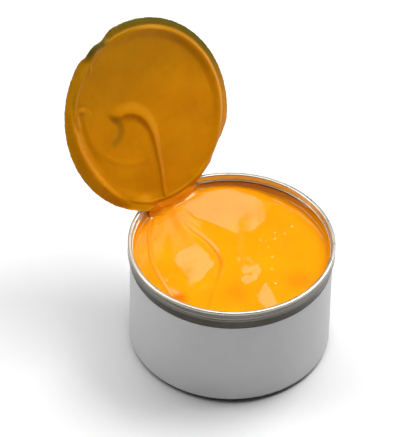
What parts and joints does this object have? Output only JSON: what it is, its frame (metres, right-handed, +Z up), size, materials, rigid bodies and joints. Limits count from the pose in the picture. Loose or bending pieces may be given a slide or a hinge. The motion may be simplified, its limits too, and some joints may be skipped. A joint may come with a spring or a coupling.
{
  "type": "paint jar",
  "caption": "Squat round ring-pull tin of orange paint, its paint-coated lid peeled back on a bent metal strip, with a blank paper label.",
  "frame": {"origin": "centre of the base on the tin's axis, on the plane it stands on", "axes": "+Z up along the tin's axis, +Y towards the lid's hinge, +X along the hinge line"},
  "size_m": [0.0873, 0.1209, 0.1206],
  "materials": {
    "tinplate": "bare drawn tinplate, satin with fine rolled lines",
    "tab_steel": "bare steel, satin",
    "label_paper": "smooth uncoated white paper, no print",
    "paint": "wet glossy orange paint",
    "compound": "matt sealing compound"
  },
  "bodies": {
    "tin": {"can_body": "tinplate", "end_ring": "tinplate", "sealing_compound": "compound", "label": "label_paper", "paint": "paint", "hinge_web": "tinplate"},
    "lid": {"lid_panel": "tinplate", "lid_paint": "paint", "rivet": "tinplate", "tab_island": "tab_steel"},
    "tab": {"pull_tab": "tab_steel"}
  },
  "joints": [
    {"name": "lid_hinge", "type": "hinge", "parent": "tin", "child": "lid", "pos_m": [0, 0.03885, 0.0504], "axis": [-1, 0, 0], "range_deg": [-110, 6]},
    {"name": "tab_fold", "type": "hinge", "parent": "lid", "child": "tab", "pos_m": [-0.01431, 0.07534, 0.11509], "axis": [0.9272, 0.1816, 0.3276], "range_deg": [-25, 60]}
  ]
}
